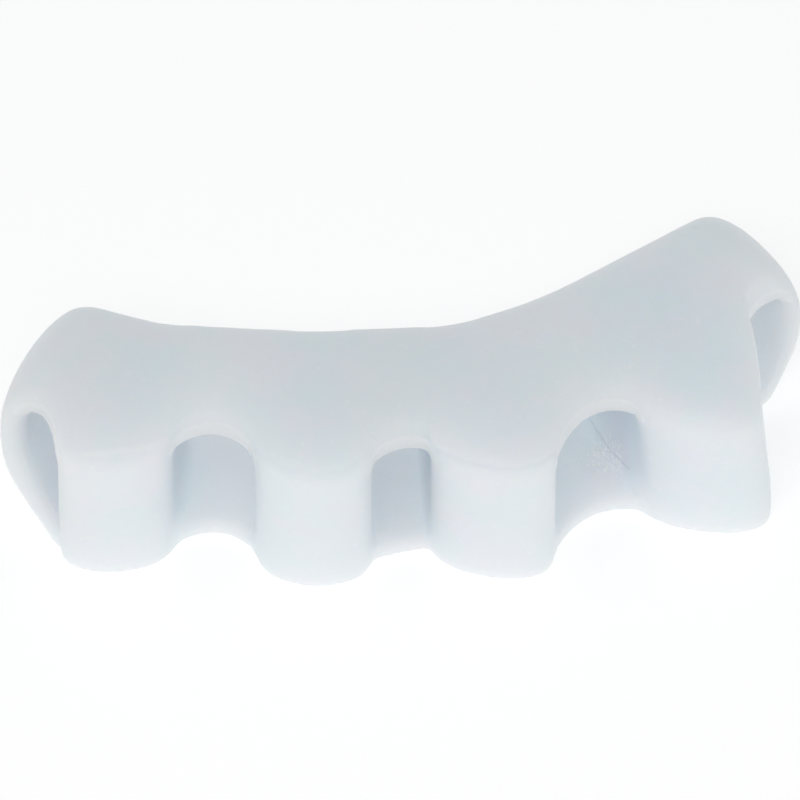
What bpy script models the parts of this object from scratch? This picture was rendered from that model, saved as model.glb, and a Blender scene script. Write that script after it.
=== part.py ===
"""Toe spreader: one soft moulding with five toe wells between four posts and two end loops.

Metres, +Z up. X runs across the toes, from the big-toe loop to the little-toe loop. -Y is the
toe-tip side. The origin is under the middle of the moulding, on the surface that it lies on.
"""

from math import dist

import bmesh
import bpy

# Overall sizes of the moulding
SPAN = 0.1105
REACH = 0.0530
HEIGHT = 0.0262

# Walls
BAND_THICKNESS = 0.0064
SOLE_THICKNESS = 0.0032
LOOP_WALL = 0.0030

# Posts, and how far the openings' front edges lie behind the posts' noses
NOSE_WIDTH = 0.0165
HEEL_WIDTH = 0.0080
MOUTH_SETBACK = 0.0085
WAIST = 0.0012
FOOT_FLARE = 0.0020

# How much lower the band's front edge lies at a post's nose than over the wells
NOSE_DROP = 0.0012

# How quickly what rises or drops at the front edge dies away behind it
FRONT_FADE = 4

SILICONE_COLOUR = (0.80, 0.84, 0.88, 1.0)
SILICONE_ROUGHNESS = 0.45

# One row for each post, from the big toe's side to the little toe's. middle: the nose's middle as
# a share of SPAN from the left end. nose: its foremost point as a share of REACH. peak: how far
# that point lies beside the middle. width, heel_width: shares of NOSE_WIDTH and HEEL_WIDTH.
# left_mouth, right_mouth: where the openings beside it begin, as shares of MOUTH_SETBACK behind
# the nose. heel: the middle of the post's back end, as a share of SPAN. lean: how far the nose's
# top lies to the right of its foot, as a share of NOSE_WIDTH. left_foot, right_foot: how far its
# flanks spread at the floor, as shares of FOOT_FLARE. shoulder: how far to the right and to the
# back its right flank bends out, as shares of MOUTH_SETBACK. left_edge, right_edge: how crisp the
# post's front corners are, from 0 for soft to 1 for sharp.
POSTS = (
    dict(middle=0.145, nose=0.060, peak=-0.06, width=0.96, heel=0.213, heel_width=0.62,
         left_mouth=0.50, right_mouth=0.68, lean=0.01, left_foot=0.0, right_foot=0.4,
         shoulder=(0, 0), left_edge=0.85, right_edge=0.20),
    dict(middle=0.392, nose=0.008, peak=0.02, width=0.99, heel=0.402, heel_width=1.0,
         left_mouth=0.82, right_mouth=0.66, lean=0.00, left_foot=0.2, right_foot=0.2,
         shoulder=(0, 0), left_edge=0.60, right_edge=0.80),
    dict(middle=0.616, nose=0.035, peak=0.17, width=1.05, heel=0.562, heel_width=1.0,
         left_mouth=0.76, right_mouth=0.60, lean=0.00, left_foot=0.2, right_foot=0.4,
         shoulder=(0, 0), left_edge=0.50, right_edge=0.85),
    dict(middle=0.890, nose=0.200, peak=0.20, width=1.05, heel=0.780, heel_width=1.30,
         left_mouth=0.55, right_mouth=0.55, lean=-0.12, left_foot=1.0, right_foot=0.0,
         shoulder=(0.33, 0.90), left_edge=0.00, right_edge=0.40),
)

# The outer face of each end loop: its front edge in plan, and where it meets the back edge.
# bulge: how far its middle stands out, as a share of LOOP_WALL.
LOOPS = (
    dict(front=(-0.002, 0.305), back=0.066, bulge=0.50),
    dict(front=(1.016, 0.735), back=0.930, bulge=0.30),
)

# The back edge of the whole moulding in plan, as shares of SPAN and REACH.
BACK_EDGE = (
    dict(across=0.05, back=0.690),
    dict(across=0.12, back=0.630),
    dict(across=0.20, back=0.578),
    dict(across=0.31, back=0.548),
    dict(across=0.44, back=0.550),
    dict(across=0.54, back=0.562),
    dict(across=0.61, back=0.606),
    dict(across=0.68, back=0.670),
    dict(across=0.78, back=0.836),
    dict(across=0.88, back=0.982),
    dict(across=0.96, back=1.100),
)

# One row for each well. bow: how far the middle of the ceiling's front edge lies behind a
# straight line between the opening's corners, as a share of MOUTH_SETBACK, and sole_bow the same
# at the floor. arch: the extra height of the ceiling's middle, as a share of BAND_THICKNESS. sill:
# how far the floor rises at the front, as a share of SOLE_THICKNESS. start: the number of the
# section below at which the well and the loop around it begin, counted from 0.
WELLS = (
    dict(bow=0.45, sole_bow=0.16, arch=0.15, sill=0.7, start=0),
    dict(bow=0.38, sole_bow=0.46, arch=0.17, sill=0.0, start=0),
    dict(bow=0.14, sole_bow=0.02, arch=0.13, sill=0.0, start=0),
    dict(bow=0.50, sole_bow=0.52, arch=0.15, sill=0.0, start=0),
    dict(bow=0.20, sole_bow=0.10, arch=0.15, sill=0.8, start=2),
)

# Nose outline in plan: across is a share of the post's width from its middle, forward a share
# of the way from the mouth's edge to the nose.
NOSE_OUTLINE = (
    dict(across=-0.50, forward=0.00),
    dict(across=-0.46, forward=0.48),
    dict(across=-0.27, forward=0.86),
    dict(across=0.00, forward=1.00),
    dict(across=0.27, forward=0.86),
    dict(across=0.46, forward=0.48),
    dict(across=0.50, forward=0.00),
)

# Sections from front to back. back: share of the way from the front edge to the back edge.
# crown: the band's top as a share of HEIGHT. ceiling: how far the wells' ceiling drops there, as
# a share of BAND_THICKNESS. waist: the share of WAIST by which a post's flank is hollowed.
# shoulder: the share of a post's shoulder there.
SECTIONS = (
    dict(back=0.00, crown=0.880, ceiling=0.00, waist=0.0, shoulder=0.00),
    dict(back=0.10, crown=0.935, ceiling=0.00, waist=0.4, shoulder=0.64),
    dict(back=0.30, crown=0.985, ceiling=0.05, waist=0.9, shoulder=1.00),
    dict(back=0.58, crown=1.000, ceiling=0.10, waist=1.0, shoulder=0.53),
    dict(back=0.84, crown=0.970, ceiling=0.25, waist=0.5, shoulder=0.15),
    dict(back=0.95, crown=0.920, ceiling=0.40, waist=0.2, shoulder=0.00),
    dict(back=1.00, crown=0.870, ceiling=0.50, waist=0.0, shoulder=0.00),
)

# Levels from the sole to the top. lean: the share of a post's lean there. hollow: the share of
# WAIST. foot: the share of the posts' FOOT_FLARE. outer: how far the outside of each end loop is
# drawn in there, as a share of the way to the post beside it, and inner the same for the inside
# of its wall, the big-toe loop first. fade: the share of that which is lost at the back edge.
LEVELS = (
    dict(name="underside", lean=0.00, hollow=0.0, foot=1.0,
         outer=(0.86, 0.90), inner=(0.95, 0.95), fade=0.35),
    dict(name="floor", lean=0.10, hollow=0.0, foot=1.0,
         outer=(0.29, 0.40), inner=(0.82, 0.55), fade=0.60),
    dict(name="low", lean=0.40, hollow=1.0, foot=0.2,
         outer=(-0.02, 0.00), inner=(0.06, 0.05), fade=0.60),
    dict(name="high", lean=0.70, hollow=1.0, foot=0.0,
         outer=(0.00, 0.00), inner=(0.00, 0.00), fade=0.00),
    dict(name="ceiling", lean=0.90, hollow=0.5, foot=0.0,
         outer=(0.02, 0.02), inner=(0.20, 0.20), fade=0.20),
    dict(name="top", lean=1.00, hollow=0.0, foot=0.0,
         outer=(0.26, 0.40), inner=(0.46, 0.60), fade=0.00),
)
LOW_LEVEL = 0.33
HIGH_LEVEL = 0.80

INNER_WELL_LINES = (0.13, 0.50, 0.87)
END_WELL_LINES = (0.22, 0.48, 0.78)
SMOOTHING_LEVELS = 1

# Crispness of the lower front edge of the band over the wells, from 0 for soft to 1 for sharp
RIM_CRISPNESS = 0.90


def mix(a, b, share):
    return a + (b - a) * share


def mix_points(a, b, share):
    return tuple(mix(x, y, share) for x, y in zip(a, b))


def hump(share):
    """A smooth rise and fall: nothing at both ends, 1 in the middle."""
    return 4 * share * (1 - share)


def direction(a, b):
    length = dist(a, b)
    return tuple((y - x) / length for x, y in zip(a, b))


def moved(point, way, distance):
    return tuple(p + w * distance for p, w in zip(point, way))


def in_plan(across, back):
    """A point in plan, in metres, from shares of SPAN and REACH."""
    return (across - 0.5) * SPAN, (back - 0.5) * REACH


def back_edge(across):
    """The point of the back edge at a share of SPAN: a smooth curve through its rows."""
    last = len(BACK_EDGE) - 1
    row = sum(across > point["across"] for point in BACK_EDGE[1:-1])
    a, b, c, d = (BACK_EDGE[min(max(row + step, 0), last)] for step in (-1, 0, 1, 2))
    width = c["across"] - b["across"]
    share = (across - b["across"]) / width
    start = (c["back"] - a["back"]) / (c["across"] - a["across"]) * width
    end = (d["back"] - b["back"]) / (d["across"] - b["across"]) * width
    rise = c["back"] - b["back"]
    bend = start * (1 - share) ** 2 * share - end * share ** 2 * (1 - share)
    return in_plan(across, b["back"] + rise * share ** 2 * (3 - 2 * share) + bend)


def post_point(post, outline, section, level):
    """A point in plan on a post, at one place of its nose outline."""
    across = outline["across"]
    x, y = in_plan(post["middle"], post["nose"])
    heel = back_edge(post["heel"])
    back = direction((x, y), heel)
    right = (back[1], -back[0])
    x += post["width"] * NOSE_WIDTH * (across + post["peak"] * hump(across + 0.5))
    x += post["lean"] * NOSE_WIDTH * level["lean"]
    mouth = post["left_mouth"] if across < 0 else post["right_mouth"]
    y += mouth * MOUTH_SETBACK * (1 - outline["forward"])
    rear = back_edge(post["heel"] + across * post["heel_width"] * HEEL_WIDTH / SPAN)
    x, y = mix_points((x, y), rear, section["back"])
    if across > 0:
        out, behind = post["shoulder"]
        bend = MOUTH_SETBACK * section["shoulder"] * (2 * across) ** 2
        x += out * bend * section["shoulder"]
        y += behind * bend
    foot = post["left_foot"] if across < 0 else post["right_foot"]
    spread = FOOT_FLARE * foot * level["foot"] - WAIST * level["hollow"]
    return moved((x, y), right, 2 * across * spread * section["waist"])


def past_start(section, start):
    """How far a section lies on the way from the section at a start to the back edge."""
    begin = SECTIONS[start]["back"]
    return max(section["back"] - begin, 0) / (1 - begin)


def loop_point(loop, section, start):
    """A point in plan on the outer face of an end loop."""
    front, back = in_plan(*loop["front"]), back_edge(loop["back"])
    along = direction(front, back)
    side = 1 if front[0] > 0 else -1
    outward = (along[1] * side, -along[0] * side)
    share = past_start(section, start)
    return moved(mix_points(front, back, share), outward, loop["bulge"] * LOOP_WALL * hump(share))


def well_point(left, right, well, share, section, level):
    """A point in plan inside a well, at a share of the way from its left side to its right."""
    front = SECTIONS[well["start"]]
    near = mix_points(left(front, level), right(front, level), 0.5)
    far = mix_points(left(SECTIONS[-1], level), right(SECTIONS[-1], level), 0.5)
    bow = well["sole_bow"] if level["name"] in ("underside", "floor") else well["bow"]
    x, y = mix_points(left(section, level), right(section, level), share)
    rear = mix_points(left(SECTIONS[-1], level), right(SECTIONS[-1], level), share)
    y += (back_edge(rear[0] / SPAN + 0.5)[1] - rear[1]) * section["back"]
    inward = bow * MOUTH_SETBACK * hump(share) * (1 - past_start(section, well["start"]))
    return moved((x, y), direction(near, far), inward)


def lifts(section, well=None, share=0.0, drop=0.0):
    """How much higher than usual the floor, the ceiling and the top of one column lie."""
    sill = arch = 0.0
    if well is not None:
        sill = well["sill"] * (1 - past_start(section, well["start"])) ** FRONT_FADE
        arch = well["arch"] * hump(share)
    return {
        "floor": sill * SOLE_THICKNESS,
        "ceiling": arch * BAND_THICKNESS,
        "top": -drop * NOSE_DROP * (1 - section["back"]) ** FRONT_FADE,
    }


def post_columns(post, left_well, right_well):
    wells = [left_well] + [None] * (len(NOSE_OUTLINE) - 2) + [right_well]

    def column(outline, well):
        return (
            lambda section, level: post_point(post, outline, section, level),
            lambda section: lifts(section, well, drop=outline["forward"]),
        )

    return [column(outline, well) for outline, well in zip(NOSE_OUTLINE, wells)]


def inner_well_columns(left_post, right_post, well):
    def left(section, level):
        return post_point(left_post, NOSE_OUTLINE[-1], section, level)

    def right(section, level):
        return post_point(right_post, NOSE_OUTLINE[0], section, level)

    def column(share):
        return (
            lambda section, level: well_point(left, right, well, share, section, level),
            lambda section: lifts(section, well, share),
        )

    return [column(share) for share in INNER_WELL_LINES]


def end_columns(number, post, well):
    """The columns of an end loop and its well, from the loop's outer face to the post."""
    outline = NOSE_OUTLINE[-number]

    def face(section, level):
        return loop_point(LOOPS[number], section, well["start"])

    def flank(section, level):
        return post_point(post, outline, section, level)

    def outside(section, level):
        share = level["outer"][number] * (1 - level["fade"] * section["back"])
        return well_point(face, flank, well, share, section, level)

    def column(line):
        def place(section, level):
            wall = LOOP_WALL / dist(face(section, level), flank(section, level))
            kept = 1 - level["fade"] * section["back"]
            share = mix(mix(wall, 1, level["inner"][number] * kept), 1, line)
            return well_point(face, flank, well, share, section, level)

        return place, lambda section: lifts(section, well, line)

    return [(outside, lifts), *(column(line) for line in (0.0, *END_WELL_LINES))]


def block(well=False, start=0):
    """What fills the way from one column to the next, from one section to the back edge."""
    return dict(well=well, start=start)


def all_columns():
    """Every column across the moulding, and the block between each two of them."""
    left_start, right_start = WELLS[0]["start"], WELLS[-1]["start"]
    end_wells = len(END_WELL_LINES) + 1
    columns = end_columns(0, POSTS[0], WELLS[0])
    blocks = [block(False, left_start)] + [block(True, left_start)] * end_wells
    for number, post in enumerate(POSTS):
        columns += post_columns(post, WELLS[number], WELLS[number + 1])
        blocks += [block()] * (len(NOSE_OUTLINE) - 1)
        if post is not POSTS[-1]:
            columns += inner_well_columns(post, POSTS[number + 1], WELLS[number + 1])
            blocks += [block(True)] * (len(INNER_WELL_LINES) + 1)
    columns += end_columns(1, POSTS[-1], WELLS[-1])[::-1]
    blocks += [block(True, right_start)] * end_wells + [block(False, right_start)]
    return columns, blocks


def height_at(section, level, lift):
    floor = SOLE_THICKNESS + lift["floor"]
    ceiling = HEIGHT - BAND_THICKNESS * (1 + section["ceiling"]) + lift["ceiling"]
    return {
        "underside": 0.0,
        "floor": floor,
        "low": mix(floor, ceiling, LOW_LEVEL),
        "high": mix(floor, ceiling, HIGH_LEVEL),
        "ceiling": ceiling,
        "top": HEIGHT * section["crown"] + lift["top"],
    }[level["name"]]


def lattice_point(column, section, level):
    place, lift = column
    return *place(section, level), height_at(section, level, lift(section))


def shell(columns, blocks):
    """The outside of all the solid blocks of the lattice, as one mesh of quads."""
    mesh = bmesh.new()
    points = {}

    def vertex(place):
        if place not in points:
            c, d, h = place
            points[place] = mesh.verts.new(lattice_point(columns[c], SECTIONS[d], LEVELS[h]))
        return points[place]

    def solid(c, d, h):
        if not (0 <= c < len(blocks) and 0 <= h < len(LEVELS) - 1):
            return False
        within = blocks[c]["start"] <= d < len(SECTIONS) - 1
        return within and not (blocks[c]["well"] and 0 < h < len(LEVELS) - 2)

    faces = {
        (-1, 0, 0): ((0, 0, 0), (0, 0, 1), (0, 1, 1), (0, 1, 0)),
        (1, 0, 0): ((1, 0, 0), (1, 1, 0), (1, 1, 1), (1, 0, 1)),
        (0, -1, 0): ((0, 0, 0), (1, 0, 0), (1, 0, 1), (0, 0, 1)),
        (0, 1, 0): ((0, 1, 0), (0, 1, 1), (1, 1, 1), (1, 1, 0)),
        (0, 0, -1): ((0, 0, 0), (0, 1, 0), (1, 1, 0), (1, 0, 0)),
        (0, 0, 1): ((0, 0, 1), (1, 0, 1), (1, 1, 1), (0, 1, 1)),
    }
    for c in range(len(blocks)):
        for d in range(len(SECTIONS) - 1):
            for h in range(len(LEVELS) - 1):
                if not solid(c, d, h):
                    continue
                for (dc, dd, dh), corners in faces.items():
                    if not solid(c + dc, d + dd, h + dh):
                        mesh.faces.new(vertex((c + x, d + y, h + z)) for x, y, z in corners)
    sharpen(mesh, points, blocks)
    return mesh


def sharpen(mesh, points, blocks):
    """Mark the crisp edges at the front, which the smoothing then keeps."""
    crispness = mesh.edges.layers.float.new("crease_edge")
    ceiling = len(LEVELS) - 2

    def mark(start, end, amount):
        edge = mesh.edges.get((points[start], points[end]))
        edge[crispness] = amount

    for c, filling in enumerate(blocks):
        if filling["well"]:
            d = filling["start"]
            mark((c, d, ceiling), (c + 1, d, ceiling), RIM_CRISPNESS)
    is_well = [filling["well"] for filling in blocks]
    after_post = [c for c in range(1, len(blocks)) if is_well[c] and not is_well[c - 1]]
    before_post = [c for c in range(1, len(blocks)) if is_well[c - 1] and not is_well[c]]
    for post, left, right in zip(POSTS, before_post[:-1], after_post[1:]):
        for c, amount in ((left, post["left_edge"]), (right, post["right_edge"])):
            for h in range(1, ceiling):
                mark((c, 0, h), (c, 0, h + 1), amount)


def silicone():
    material = bpy.data.materials.new("milky_silicone")
    material.use_nodes = True
    shader = material.node_tree.nodes["Principled BSDF"]
    shader.inputs["Base Color"].default_value = SILICONE_COLOUR
    shader.inputs["Roughness"].default_value = SILICONE_ROUGHNESS
    shader.inputs["Metallic"].default_value = 0.0
    return material


def spreader_body():
    columns, blocks = all_columns()
    cage = shell(columns, blocks)
    data = bpy.data.meshes.new("spreader_body")
    cage.to_mesh(data)
    cage.free()
    data.shade_smooth()
    data.materials.append(silicone())
    body = bpy.data.objects.new("spreader_body", data)
    bpy.context.scene.collection.objects.link(body)
    smooth = body.modifiers.new("Subdivision", "SUBSURF")
    smooth.levels = SMOOTHING_LEVELS
    smooth.render_levels = SMOOTHING_LEVELS
    centre(body)
    return body


def centre(body):
    """Move the moulding's points so that the origin lies under the middle of its outline."""
    smoothed = body.evaluated_get(bpy.context.evaluated_depsgraph_get()).to_mesh()
    for axis in (0, 1):
        places = [vertex.co[axis] for vertex in smoothed.vertices]
        middle = (min(places) + max(places)) / 2
        for vertex in body.data.vertices:
            vertex.co[axis] -= middle


def main():
    for leftover in list(bpy.data.objects):
        bpy.data.objects.remove(leftover)
    spreader_body()


main()
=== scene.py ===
from math import cos, radians, sin

import bmesh
import bpy
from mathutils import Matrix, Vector
from mathutils.geometry import intersect_point_line
from mathutils.kdtree import KDTree


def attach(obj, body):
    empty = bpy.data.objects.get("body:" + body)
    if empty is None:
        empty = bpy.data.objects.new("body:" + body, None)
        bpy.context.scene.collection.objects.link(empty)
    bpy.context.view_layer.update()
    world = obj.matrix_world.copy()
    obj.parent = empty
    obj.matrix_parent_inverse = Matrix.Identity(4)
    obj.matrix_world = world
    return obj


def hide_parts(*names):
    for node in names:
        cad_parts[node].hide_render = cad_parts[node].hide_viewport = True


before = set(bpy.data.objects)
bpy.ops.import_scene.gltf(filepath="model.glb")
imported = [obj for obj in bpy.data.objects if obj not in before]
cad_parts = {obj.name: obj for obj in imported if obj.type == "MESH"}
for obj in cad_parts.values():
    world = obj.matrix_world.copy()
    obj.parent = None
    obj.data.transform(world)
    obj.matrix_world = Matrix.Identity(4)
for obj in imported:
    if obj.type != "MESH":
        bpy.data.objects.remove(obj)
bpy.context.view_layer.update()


# Working steps that every piece shares

def deselectAll():
    if bpy.context.object and bpy.context.object.mode != "OBJECT":
        bpy.ops.object.mode_set(mode="OBJECT")
    bpy.ops.object.select_all(action="DESELECT")


def pick(obj):
    deselectAll()
    obj.select_set(True)
    bpy.context.view_layer.objects.active = obj


def addModifier(obj, kind, **settings):
    modifier = obj.modifiers.new(kind.title(), kind)
    for name, value in settings.items():
        setattr(modifier, name, value)
    return modifier


def applyAll(obj):
    pick(obj)
    for modifier in list(obj.modifiers):
        bpy.ops.object.modifier_apply(modifier=modifier.name)


# The moulding: the spreader's own form, made fine enough for its rims and creases

moulding = {
    "cadNode": "spreader_body",
    "mergeGap": 0.00001,       # joins the loose triangles of the copy
    "crispAngle": 38,          # edges sharper than this stay crisp, degrees
    "crispness": 0.6,
    "quadAngle": 60,           # triangles that meet flatter than this become quads, degrees
    "levels": 2,
}


def copyOfNode(nodeName, newName):
    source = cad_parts[nodeName]
    copy = bpy.data.objects.new(newName, source.data.copy())
    bpy.context.scene.collection.objects.link(copy)
    return copy


def makeMoulding():
    body = copyOfNode(moulding["cadNode"], "spreader")
    pick(body)
    bpy.ops.object.mode_set(mode="EDIT")
    bpy.ops.mesh.select_all(action="SELECT")
    bpy.ops.mesh.remove_doubles(threshold=moulding["mergeGap"])
    flatter = radians(moulding["quadAngle"])
    bpy.ops.mesh.tris_convert_to_quads(face_threshold=flatter, shape_threshold=flatter)
    bpy.ops.mesh.select_all(action="DESELECT")
    bpy.ops.mesh.select_mode(type="EDGE")
    bpy.ops.mesh.edges_select_sharp(sharpness=radians(moulding["crispAngle"]))
    bpy.ops.transform.edge_crease(value=moulding["crispness"])
    bpy.ops.object.mode_set(mode="OBJECT")
    addModifier(body, "SUBSURF", levels=moulding["levels"], render_levels=moulding["levels"])
    applyAll(body)
    bpy.ops.object.shade_smooth()
    print("moulding:", len(body.data.polygons), "faces")
    return body


# The rims: each opening's upper edge has a thin lip, and above it a flat strip that stands
# proud of the band. Lip, strip and the strip's upper border are tinted paler as a painted
# highlight.

rims = {
    "ceilingTilt": -0.55,      # a ceiling's faces point down at least this much
    "frontTilt": 0.30,         # the faces in front of it point up at most this much
    "forward": -0.2,           # and they face forwards this much
    "sideways": 0.6,           # or to a side this much
    "heights": (0.0165, 0.0225),
    "lipWidth": 0.0005,
    "lipHeight": 0.00010,
    "stripWidth": 0.0019,
    "stripHeight": 0.00014,
    "stripEdge": 0.0003,       # the strip falls away over this width
    "outsideTilt": -0.35,      # only faces that point up more than this are raised
    "fineReach": 0.0030,       # faces this near are divided once more
    "fineTilt": -0.5,          # unless they point down more than this
    "shade": "rimPaintedHighlight",       # the attribute that carries the painted highlight
    "stripHighlight": 0.6,
    "borderHighlight": 0.5,
}


def falloff(distance, width, edge):
    share = min(max((width + edge - distance) / edge, 0), 1)
    return share * share * (3 - 2 * share)


def rimSpots(body):
    mesh = bmesh.new()
    mesh.from_mesh(body.data)
    low, high = rims["heights"]
    spots = []
    for edge in mesh.edges:
        if len(edge.link_faces) != 2:
            continue
        ceiling, front = sorted((face.normal for face in edge.link_faces), key=lambda way: way.z)
        middle = (edge.verts[0].co + edge.verts[1].co) / 2
        crisp = edge.calc_face_angle(0) > radians(moulding["crispAngle"])
        facing = front.y < rims["forward"] or abs(front.x) > rims["sideways"]
        fits = ceiling.z < rims["ceilingTilt"] and front.z < rims["frontTilt"]
        if crisp and facing and fits and low < middle.z < high:
            spots += [edge.verts[0].co.copy(), middle, edge.verts[1].co.copy()]
    mesh.free()
    print("rims:", len(spots), "spots")
    return spots


def rimTree(body):
    spots = rimSpots(body)
    tree = KDTree(len(spots))
    for number, spot in enumerate(spots):
        tree.insert(spot, number)
    tree.balance()
    return tree


def refine(body, tree):
    pick(body)
    bpy.ops.object.mode_set(mode="EDIT")
    bpy.ops.mesh.select_mode(type="FACE")
    bpy.ops.mesh.select_all(action="DESELECT")
    bpy.ops.object.mode_set(mode="OBJECT")
    for face in body.data.polygons:
        near = tree.find(face.center)[2] < rims["fineReach"]
        face.select = near and face.normal.z > rims["fineTilt"]
    bpy.ops.object.mode_set(mode="EDIT")
    bpy.ops.mesh.subdivide(number_cuts=1)
    bpy.ops.object.mode_set(mode="OBJECT")
    bpy.ops.object.shade_smooth()
    body.data.calc_loop_triangles()
    print("refined:", len(body.data.loop_triangles), "triangles")


def raiseRims(body):
    tree = rimTree(body)
    refine(body, tree)
    shade = body.data.attributes.new(rims["shade"], "FLOAT", "POINT")
    raised = []
    for vertex in body.data.vertices:
        spot, _, distance = tree.find(vertex.co)
        above = vertex.co.z > spot.z - rims["lipWidth"]
        outside = vertex.normal.z > rims["outsideTilt"] and above
        if not outside or distance > rims["stripWidth"] + rims["stripEdge"]:
            continue
        strip = falloff(distance, rims["stripWidth"], rims["stripEdge"])
        lip = falloff(distance, 0, rims["lipWidth"])
        border = falloff(abs(distance - rims["stripWidth"]), 0, rims["stripEdge"])
        height = strip * rims["stripHeight"] + lip * rims["lipHeight"]
        raised.append((vertex.index, vertex.normal * height))
        # the paler tint on the lip, the strip and its border is a painted highlight
        tint = strip * rims["stripHighlight"] + lip + border * rims["borderHighlight"]
        shade.data[vertex.index].value = tint
    for index, step in raised:
        body.data.vertices[index].co += step
    body.data.update()
    print("rims raised at", len(raised), "points")


# Fine marks of the mould and of wear. A line is drawn as seen from 45 degrees in front, in mm
# across and in mm of depth plus height. A tint above 0 is pale, and below 0 dark: dark is painted
# shade in the ledge, the folds and the nick, pale is a painted highlight on the flange and pale
# wear on the scratch and the other nick.

marks = {
    "postOneLedge": {
        "line": ((-43.6, -1.1), (-42.0, -1.7), (-40.3, -1.9), (-37.1, -1.3)),
        "height": -0.00016, "width": 0.00028, "tint": -0.22,
    },
    "postOneFlange": {
        "line": ((-43.4, -0.6), (-40.6, 0.0), (-37.1, 0.5), (-35.0, 1.0), (-32.9, 2.0)),
        "height": 0.00018, "width": 0.0006, "tint": 0.5,
    },
    "postTwoFold": {
        "line": ((-19.5, -0.2), (-16.3, -3.1), (-12.1, -4.5), (-7.9, -3.7), (-5.0, -1.0)),
        "height": -0.00008, "width": 0.0006, "tint": -0.2,
    },
    "postThreeFold": {
        "line": ((5.0, 0.0), (8.3, -1.9), (12.2, -3.1), (15.7, -3.5), (19.1, -2.1), (20.7, -0.7)),
        "height": -0.00012, "width": 0.0005, "tint": -0.3,
    },
    "bandScratch": {
        "line": ((40.3, 27.6), (40.8, 26.6), (41.1, 25.5)),
        "height": -0.00008, "width": 0.00025, "tint": 0.6,
    },
    "bandNick": {
        "line": ((40.4, 44.1), (40.9, 43.9)),
        "height": -0.00006, "width": 0.00022, "tint": -0.4,
    },
    "postThreeNick": {
        "line": ((15.8, 23.2), (16.4, 23.3)),
        "height": -0.00008, "width": 0.0003, "tint": 0.7,
    },
}
marksPlace = {
    "above": 0.015,            # all of them lie above this height
    "seenTilt": 0.2,           # and on faces that point up or forwards this much
    "shade": "markWearAndShade",      # the attribute that carries the marks' painted shade and highlight and their wear tints
}


def pressMark(body, mark, shade):
    line = [Vector((across, depth, 0)) / 1000 for across, depth in mark["line"]]
    moves = []
    for vertex in body.data.vertices:
        seen = vertex.normal.z - vertex.normal.y
        if vertex.co.z < marksPlace["above"] or seen < marksPlace["seenTilt"]:
            continue
        point = Vector((vertex.co.x, vertex.co.y + vertex.co.z, 0))
        gaps = []
        for start, end in zip(line, line[1:]):
            foot, share = intersect_point_line(point, start, end)
            foot = start if share < 0 else end if share > 1 else foot
            gaps.append((point - foot).length)
        closeness = falloff(min(gaps), 0, 2 * mark["width"])
        if closeness > 0:
            moves.append((vertex.index, vertex.normal * mark["height"] * closeness))
            # dark tints are painted shade, pale tints a painted highlight or pale wear
            shade.data[vertex.index].value += mark["tint"] * closeness
    for index, step in moves:
        body.data.vertices[index].co += step
    body.data.update()
    return len(moves)


spreader = makeMoulding()
raiseRims(spreader)
markWearAndShade = spreader.data.attributes.new(marksPlace["shade"], "FLOAT", "POINT")
for name, mark in marks.items():
    print("mark:", name, pressMark(spreader, mark, markWearAndShade), "points")
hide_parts(moulding["cadNode"])
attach(spreader, "root")


# The finish: milky silicone, satin, with faint clouding and a fine skin, a painted highlight on
# the rims and painted shade in the creases

silicone = {
    "colour": (0.835, 0.880, 0.935, 1),
    "cloudColours": (          # colour, clouds per metre, strength: lavender, then green-grey
        ((0.865, 0.862, 0.940, 1), 95, 0.75),
        ((0.790, 0.885, 0.900, 1), 130, 0.55),
    ),
    "cloudRange": (0.42, 0.68),
    "roughness": 0.42,
    "roughPatches": 0.10,      # how much rougher the worn patches are
    "patchScale": 70,
    "ior": 1.41,
    "depth": 1.00,             # how much light goes into the milky body
    "reach": 0.0115,           # how far it spreads there, metres
    "spread": (0.9, 1.0, 1.1),
    "skinScale": 900,
    "skinHeight": 0.00008,
    "dimpleScale": 160,        # soft unevenness of the moulded face
    "dimpleHeight": 0.00020,
}
# wear and painted light: specks and the rubbed patch are wear; the rim tint is a painted
# highlight and the dark crease and mark tints are painted shade
wearAndPaintedLight = {
    # painted highlight colour for the rims and the flange mark; on the scratch and the pale nick
    # it is their own pale wear
    "highlightAndScratchColour": (0.900, 0.930, 0.960, 1),
    "rimHighlightTint": 0.6,
    "creaseShadeColour": (0.600, 0.640, 0.690, 1),    # painted shade in the bottoms of folds, creases and dents
    "markShadeTint": 0.6,
    "speckColour": (0.980, 0.985, 0.990, 1),
    "speckScale": 1300,        # tiny pale nicks and lint marks
    "speckRange": (0.66, 0.74),
    "speckTint": 0.25,
    "scuffMiddle": (0.0291, -0.0047, 0.0032),  # a rubbed patch on the fourth well's floor
    "scuffReach": 0.0074,
    "scuffScale": 2300,
    "scuffHeight": 0.00030,
    "scuffRange": (0.50, 0.62),
    "scuffTint": 0.7,
    # a fine crease in that floor, pressed in and darkened with painted shade, in mm across and in
    # mm of depth plus height
    "creaseLine": ((25.9, 7.2), (27.2, 3.9), (28.7, 0.6), (31.4, -3.4)),
    "creaseWidth": 0.00020,
    "creaseDepth": 0.0002,
    "creaseShadeTint": 0.32,
    "floorHeights": (0.0012, 0.0085),          # the floor lies between these
    "floorFades": (0.0003, 0.001),
}


def addNode(material, kind, **values):
    node = material.node_tree.nodes.new("ShaderNode" + kind)
    for name, value in values.items():
        if name in node.inputs:
            node.inputs[name].default_value = value
        else:
            setattr(node, name, value)
    return node


def noise(material, place, scale, detail):
    texture = addNode(material, "TexNoise", Scale=scale, Detail=detail)
    material.node_tree.links.new(place.outputs["Object"], texture.inputs["Vector"])
    return texture.outputs["Fac"]


def band(material, source, low, high):
    ramp = addNode(material, "MapRange", interpolation_type="SMOOTHSTEP")
    ramp.inputs["From Min"].default_value = low
    ramp.inputs["From Max"].default_value = high
    material.node_tree.links.new(source, ramp.inputs["Value"])
    return ramp.outputs["Result"]


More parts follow.
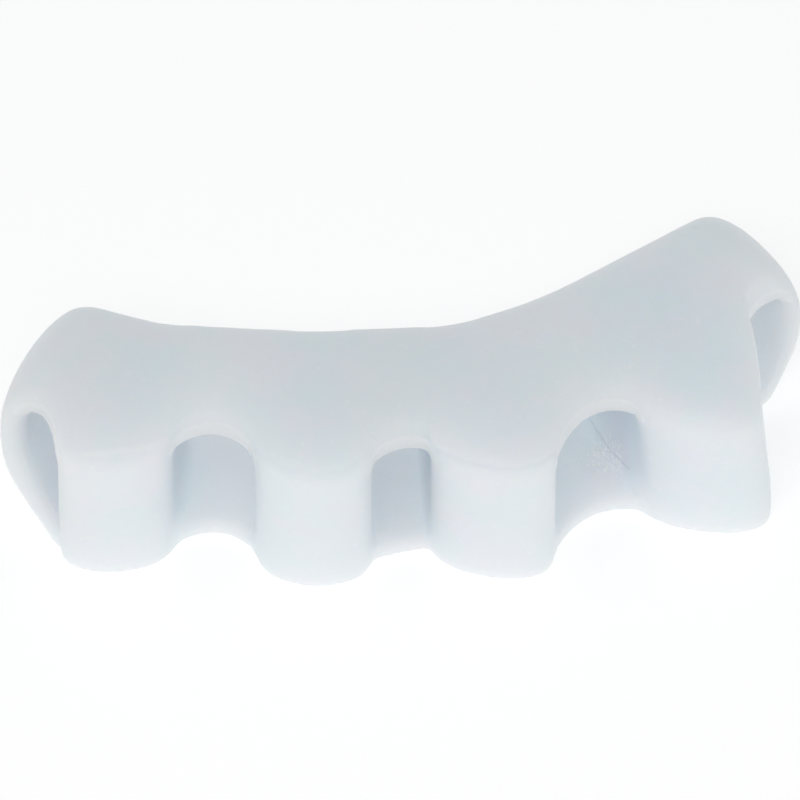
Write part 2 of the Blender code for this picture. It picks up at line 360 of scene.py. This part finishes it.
def times(material, source, amount):
    product = addNode(material, "Math", operation="MULTIPLY")
    material.node_tree.links.new(source, product.inputs[0])
    if isinstance(amount, float):
        product.inputs[1].default_value = amount
    else:
        material.node_tree.links.new(amount, product.inputs[1])
    return product.outputs["Value"]


def tinted(material, colour, other, share):
    mixer = addNode(material, "Mix", data_type="RGBA")
    links = material.node_tree.links
    links.new(share, mixer.inputs["Factor"])
    for value, socket in ((colour, mixer.inputs["A"]), (other, mixer.inputs["B"])):
        if isinstance(value, tuple):
            socket.default_value = value
        else:
            links.new(value, socket)
    return mixer.outputs["Result"]


def bumped(material, source, height, below=None):
    bump = addNode(material, "Bump", Strength=1.0, Distance=height)
    material.node_tree.links.new(source, bump.inputs["Height"])
    if below is not None:
        material.node_tree.links.new(below, bump.inputs["Normal"])
    return bump.outputs["Normal"]


def scuff(material, place):
    away = addNode(material, "VectorMath", operation="DISTANCE")
    away.inputs[1].default_value = wearAndPaintedLight["scuffMiddle"]
    material.node_tree.links.new(place.outputs["Object"], away.inputs[0])
    near = band(material, away.outputs["Value"], wearAndPaintedLight["scuffReach"], wearAndPaintedLight["scuffReach"] / 3)
    return times(material, noise(material, place, wearAndPaintedLight["scuffScale"], 2), near)


def awayFromLine(material, seen, start, end):
    links = material.node_tree.links
    reach = Vector((end[0] - start[0], end[1] - start[1], 0)) / 1000
    offset = addNode(material, "VectorMath", operation="SUBTRACT")
    offset.inputs[1].default_value = (start[0] / 1000, start[1] / 1000, 0)
    links.new(seen, offset.inputs[0])
    along = addNode(material, "VectorMath", operation="DOT_PRODUCT")
    along.inputs[1].default_value = reach / reach.length_squared
    links.new(offset.outputs["Vector"], along.inputs[0])
    share = addNode(material, "Clamp")
    links.new(along.outputs["Value"], share.inputs["Value"])
    foot = addNode(material, "VectorMath", operation="SCALE")
    foot.inputs[0].default_value = reach
    links.new(share.outputs["Result"], foot.inputs["Scale"])
    away = addNode(material, "VectorMath", operation="DISTANCE")
    links.new(offset.outputs["Vector"], away.inputs[0])
    links.new(foot.outputs["Vector"], away.inputs[1])
    return away.outputs["Value"]


def crease(material, place):
    links = material.node_tree.links
    parts = addNode(material, "SeparateXYZ")
    links.new(place.outputs["Object"], parts.inputs["Vector"])
    depth = addNode(material, "Math", operation="ADD")
    links.new(parts.outputs["Y"], depth.inputs[0])
    links.new(parts.outputs["Z"], depth.inputs[1])
    seen = addNode(material, "CombineXYZ")
    links.new(parts.outputs["X"], seen.inputs["X"])
    links.new(depth.outputs["Value"], seen.inputs["Y"])
    line = wearAndPaintedLight["creaseLine"]
    nearest = None
    for start, end in zip(line, line[1:]):
        away = awayFromLine(material, seen.outputs["Vector"], start, end)
        if nearest is not None:
            closer = addNode(material, "Math", operation="MINIMUM")
            links.new(nearest, closer.inputs[0])
            links.new(away, closer.inputs[1])
            away = closer.outputs["Value"]
        nearest = away
    low, high = wearAndPaintedLight["floorHeights"]
    lowFade, highFade = wearAndPaintedLight["floorFades"]
    onFloor = times(material, band(material, parts.outputs["Z"], low, low + lowFade),
                    band(material, parts.outputs["Z"], high, high - highFade))
    return times(material, band(material, nearest, wearAndPaintedLight["creaseWidth"], 0), onFloor)


def siliconeColour(material, place, line):
    colour = silicone["colour"]
    for cloudColour, scale, strength in silicone["cloudColours"]:
        cloud = band(material, noise(material, place, scale, 4), *silicone["cloudRange"])
        colour = tinted(material, colour, cloudColour, times(material, cloud, strength))
    # painted highlight on each opening's lip and strip
    rim = addNode(material, "Attribute", attribute_name=rims["shade"])
    colour = tinted(material, colour, wearAndPaintedLight["highlightAndScratchColour"],
                    times(material, rim.outputs["Fac"], wearAndPaintedLight["rimHighlightTint"]))
    specks = band(material, noise(material, place, wearAndPaintedLight["speckScale"], 2), *wearAndPaintedLight["speckRange"])
    colour = tinted(material, colour, wearAndPaintedLight["speckColour"],
                    times(material, specks, wearAndPaintedLight["speckTint"]))
    rubbed = band(material, scuff(material, place), *wearAndPaintedLight["scuffRange"])
    colour = tinted(material, colour, wearAndPaintedLight["speckColour"],
                    times(material, rubbed, wearAndPaintedLight["scuffTint"]))
    # painted shade along the floor crease
    colour = tinted(material, colour, wearAndPaintedLight["creaseShadeColour"],
                    times(material, line, wearAndPaintedLight["creaseShadeTint"]))
    # mark tints: dark is painted shade in the ledge, folds and nick; pale is a painted highlight
    # on the flange and pale wear on the scratch and nick
    mark = addNode(material, "Attribute", attribute_name=marksPlace["shade"]).outputs["Fac"]
    colour = tinted(material, colour, wearAndPaintedLight["highlightAndScratchColour"], band(material, mark, 0, 1))
    return tinted(material, colour, wearAndPaintedLight["creaseShadeColour"],
                  times(material, band(material, mark, 0, -1), wearAndPaintedLight["markShadeTint"]))


def siliconeRelief(material, place, line):
    normal = bumped(material, noise(material, place, silicone["dimpleScale"], 2),
                    silicone["dimpleHeight"])
    normal = bumped(material, noise(material, place, silicone["skinScale"], 3),
                    silicone["skinHeight"], normal)
    normal = bumped(material, scuff(material, place), wearAndPaintedLight["scuffHeight"], normal)
    return bumped(material, times(material, line, -1.0), wearAndPaintedLight["creaseDepth"], normal)


def makeSilicone():
    material = bpy.data.materials.new("milkySilicone")
    material.use_nodes = True
    links = material.node_tree.links
    shader = material.node_tree.nodes["Principled BSDF"]
    shader.inputs["Subsurface Weight"].default_value = silicone["depth"]
    shader.inputs["Subsurface Radius"].default_value = silicone["spread"]
    shader.inputs["Subsurface Scale"].default_value = silicone["reach"]
    shader.inputs["IOR"].default_value = silicone["ior"]
    place = addNode(material, "TexCoord")
    line = crease(material, place)
    links.new(siliconeColour(material, place, line), shader.inputs["Base Color"])
    worn = addNode(material, "Math", operation="MULTIPLY_ADD")
    links.new(noise(material, place, silicone["patchScale"], 3), worn.inputs[0])
    worn.inputs[1].default_value = silicone["roughPatches"]
    worn.inputs[2].default_value = silicone["roughness"]
    links.new(worn.outputs["Value"], shader.inputs["Roughness"])
    links.new(siliconeRelief(material, place, line), shader.inputs["Normal"])
    print("silicone: made")
    return material


spreader.data.materials.clear()
spreader.data.materials.append(makeSilicone())


# The studio: pale floor, soft lights, and the camera at the photograph's angle

studio = {
    "floorSize": 6,
    "floorColour": (0.92, 0.91, 0.90, 1),
    "floorGlow": 0.40,         # the floor is a dim light table
    "floorRoughness": 0.9,
    "sky": (0.935, 0.975, 1.0, 1),
    "skyStrength": 0.565,
    "lights": {                # place, size, power and colour
        "frontSoftbox": ((-0.1, -0.62, 0.78), 0.5, 1.75, (1.0, 0.95, 0.915)),
    },
    "lightsAim": (0, 0, 0.01),
}
view = {
    "elevation": 45,
    "target": (-0.0003, -0.0015, 0.0115),
    "distance": 1.5,
    "pixelsPerMm": 7.2,
    "imageWidth": 800,
    "sensor": 36,
    "clipStart": 0.01,
}


def aimAt(obj, target):
    way = Vector(target) - obj.location
    obj.rotation_euler = way.to_track_quat("-Z", "Y").to_euler()


def makeStudio():
    deselectAll()
    bpy.ops.mesh.primitive_plane_add(size=studio["floorSize"])
    floor = bpy.context.object
    floor.name = "studioFloor"
    material = bpy.data.materials.new("paleFloor")
    material.use_nodes = True
    shader = material.node_tree.nodes["Principled BSDF"]
    shader.inputs["Base Color"].default_value = studio["floorColour"]
    shader.inputs["Roughness"].default_value = studio["floorRoughness"]
    shader.inputs["Emission Color"].default_value = studio["floorColour"]
    shader.inputs["Emission Strength"].default_value = studio["floorGlow"]
    floor.data.materials.append(material)
    world = bpy.data.worlds.new("studioSky")
    bpy.context.scene.world = world
    world.use_nodes = True
    sky = world.node_tree.nodes["Background"]
    sky.inputs["Color"].default_value = studio["sky"]
    sky.inputs["Strength"].default_value = studio["skyStrength"]
    for name, (place, size, power, colour) in studio["lights"].items():
        bpy.ops.object.light_add(type="AREA", location=place)
        light = bpy.context.object
        light.name = name
        light.data.size = size
        light.data.energy = power
        light.data.color = colour
        aimAt(light, studio["lightsAim"])
    print("studio: lit")


def makeCamera():
    bpy.ops.object.camera_add()
    camera = bpy.context.object
    camera.name = "photoCamera"
    tilt = radians(view["elevation"])
    back = Vector((0, -cos(tilt), sin(tilt)))
    camera.location = Vector(view["target"]) + back * view["distance"]
    aimAt(camera, view["target"])
    camera.data.sensor_width = view["sensor"]
    framed = view["imageWidth"] / (view["pixelsPerMm"] * 1000)   # metres across the picture
    camera.data.lens = view["sensor"] * view["distance"] / framed
    camera.data.clip_start = view["clipStart"]
    bpy.context.scene.camera = camera
    print("camera: set")


makeStudio()
makeCamera()
bpy.context.scene.view_settings.view_transform = "Standard"
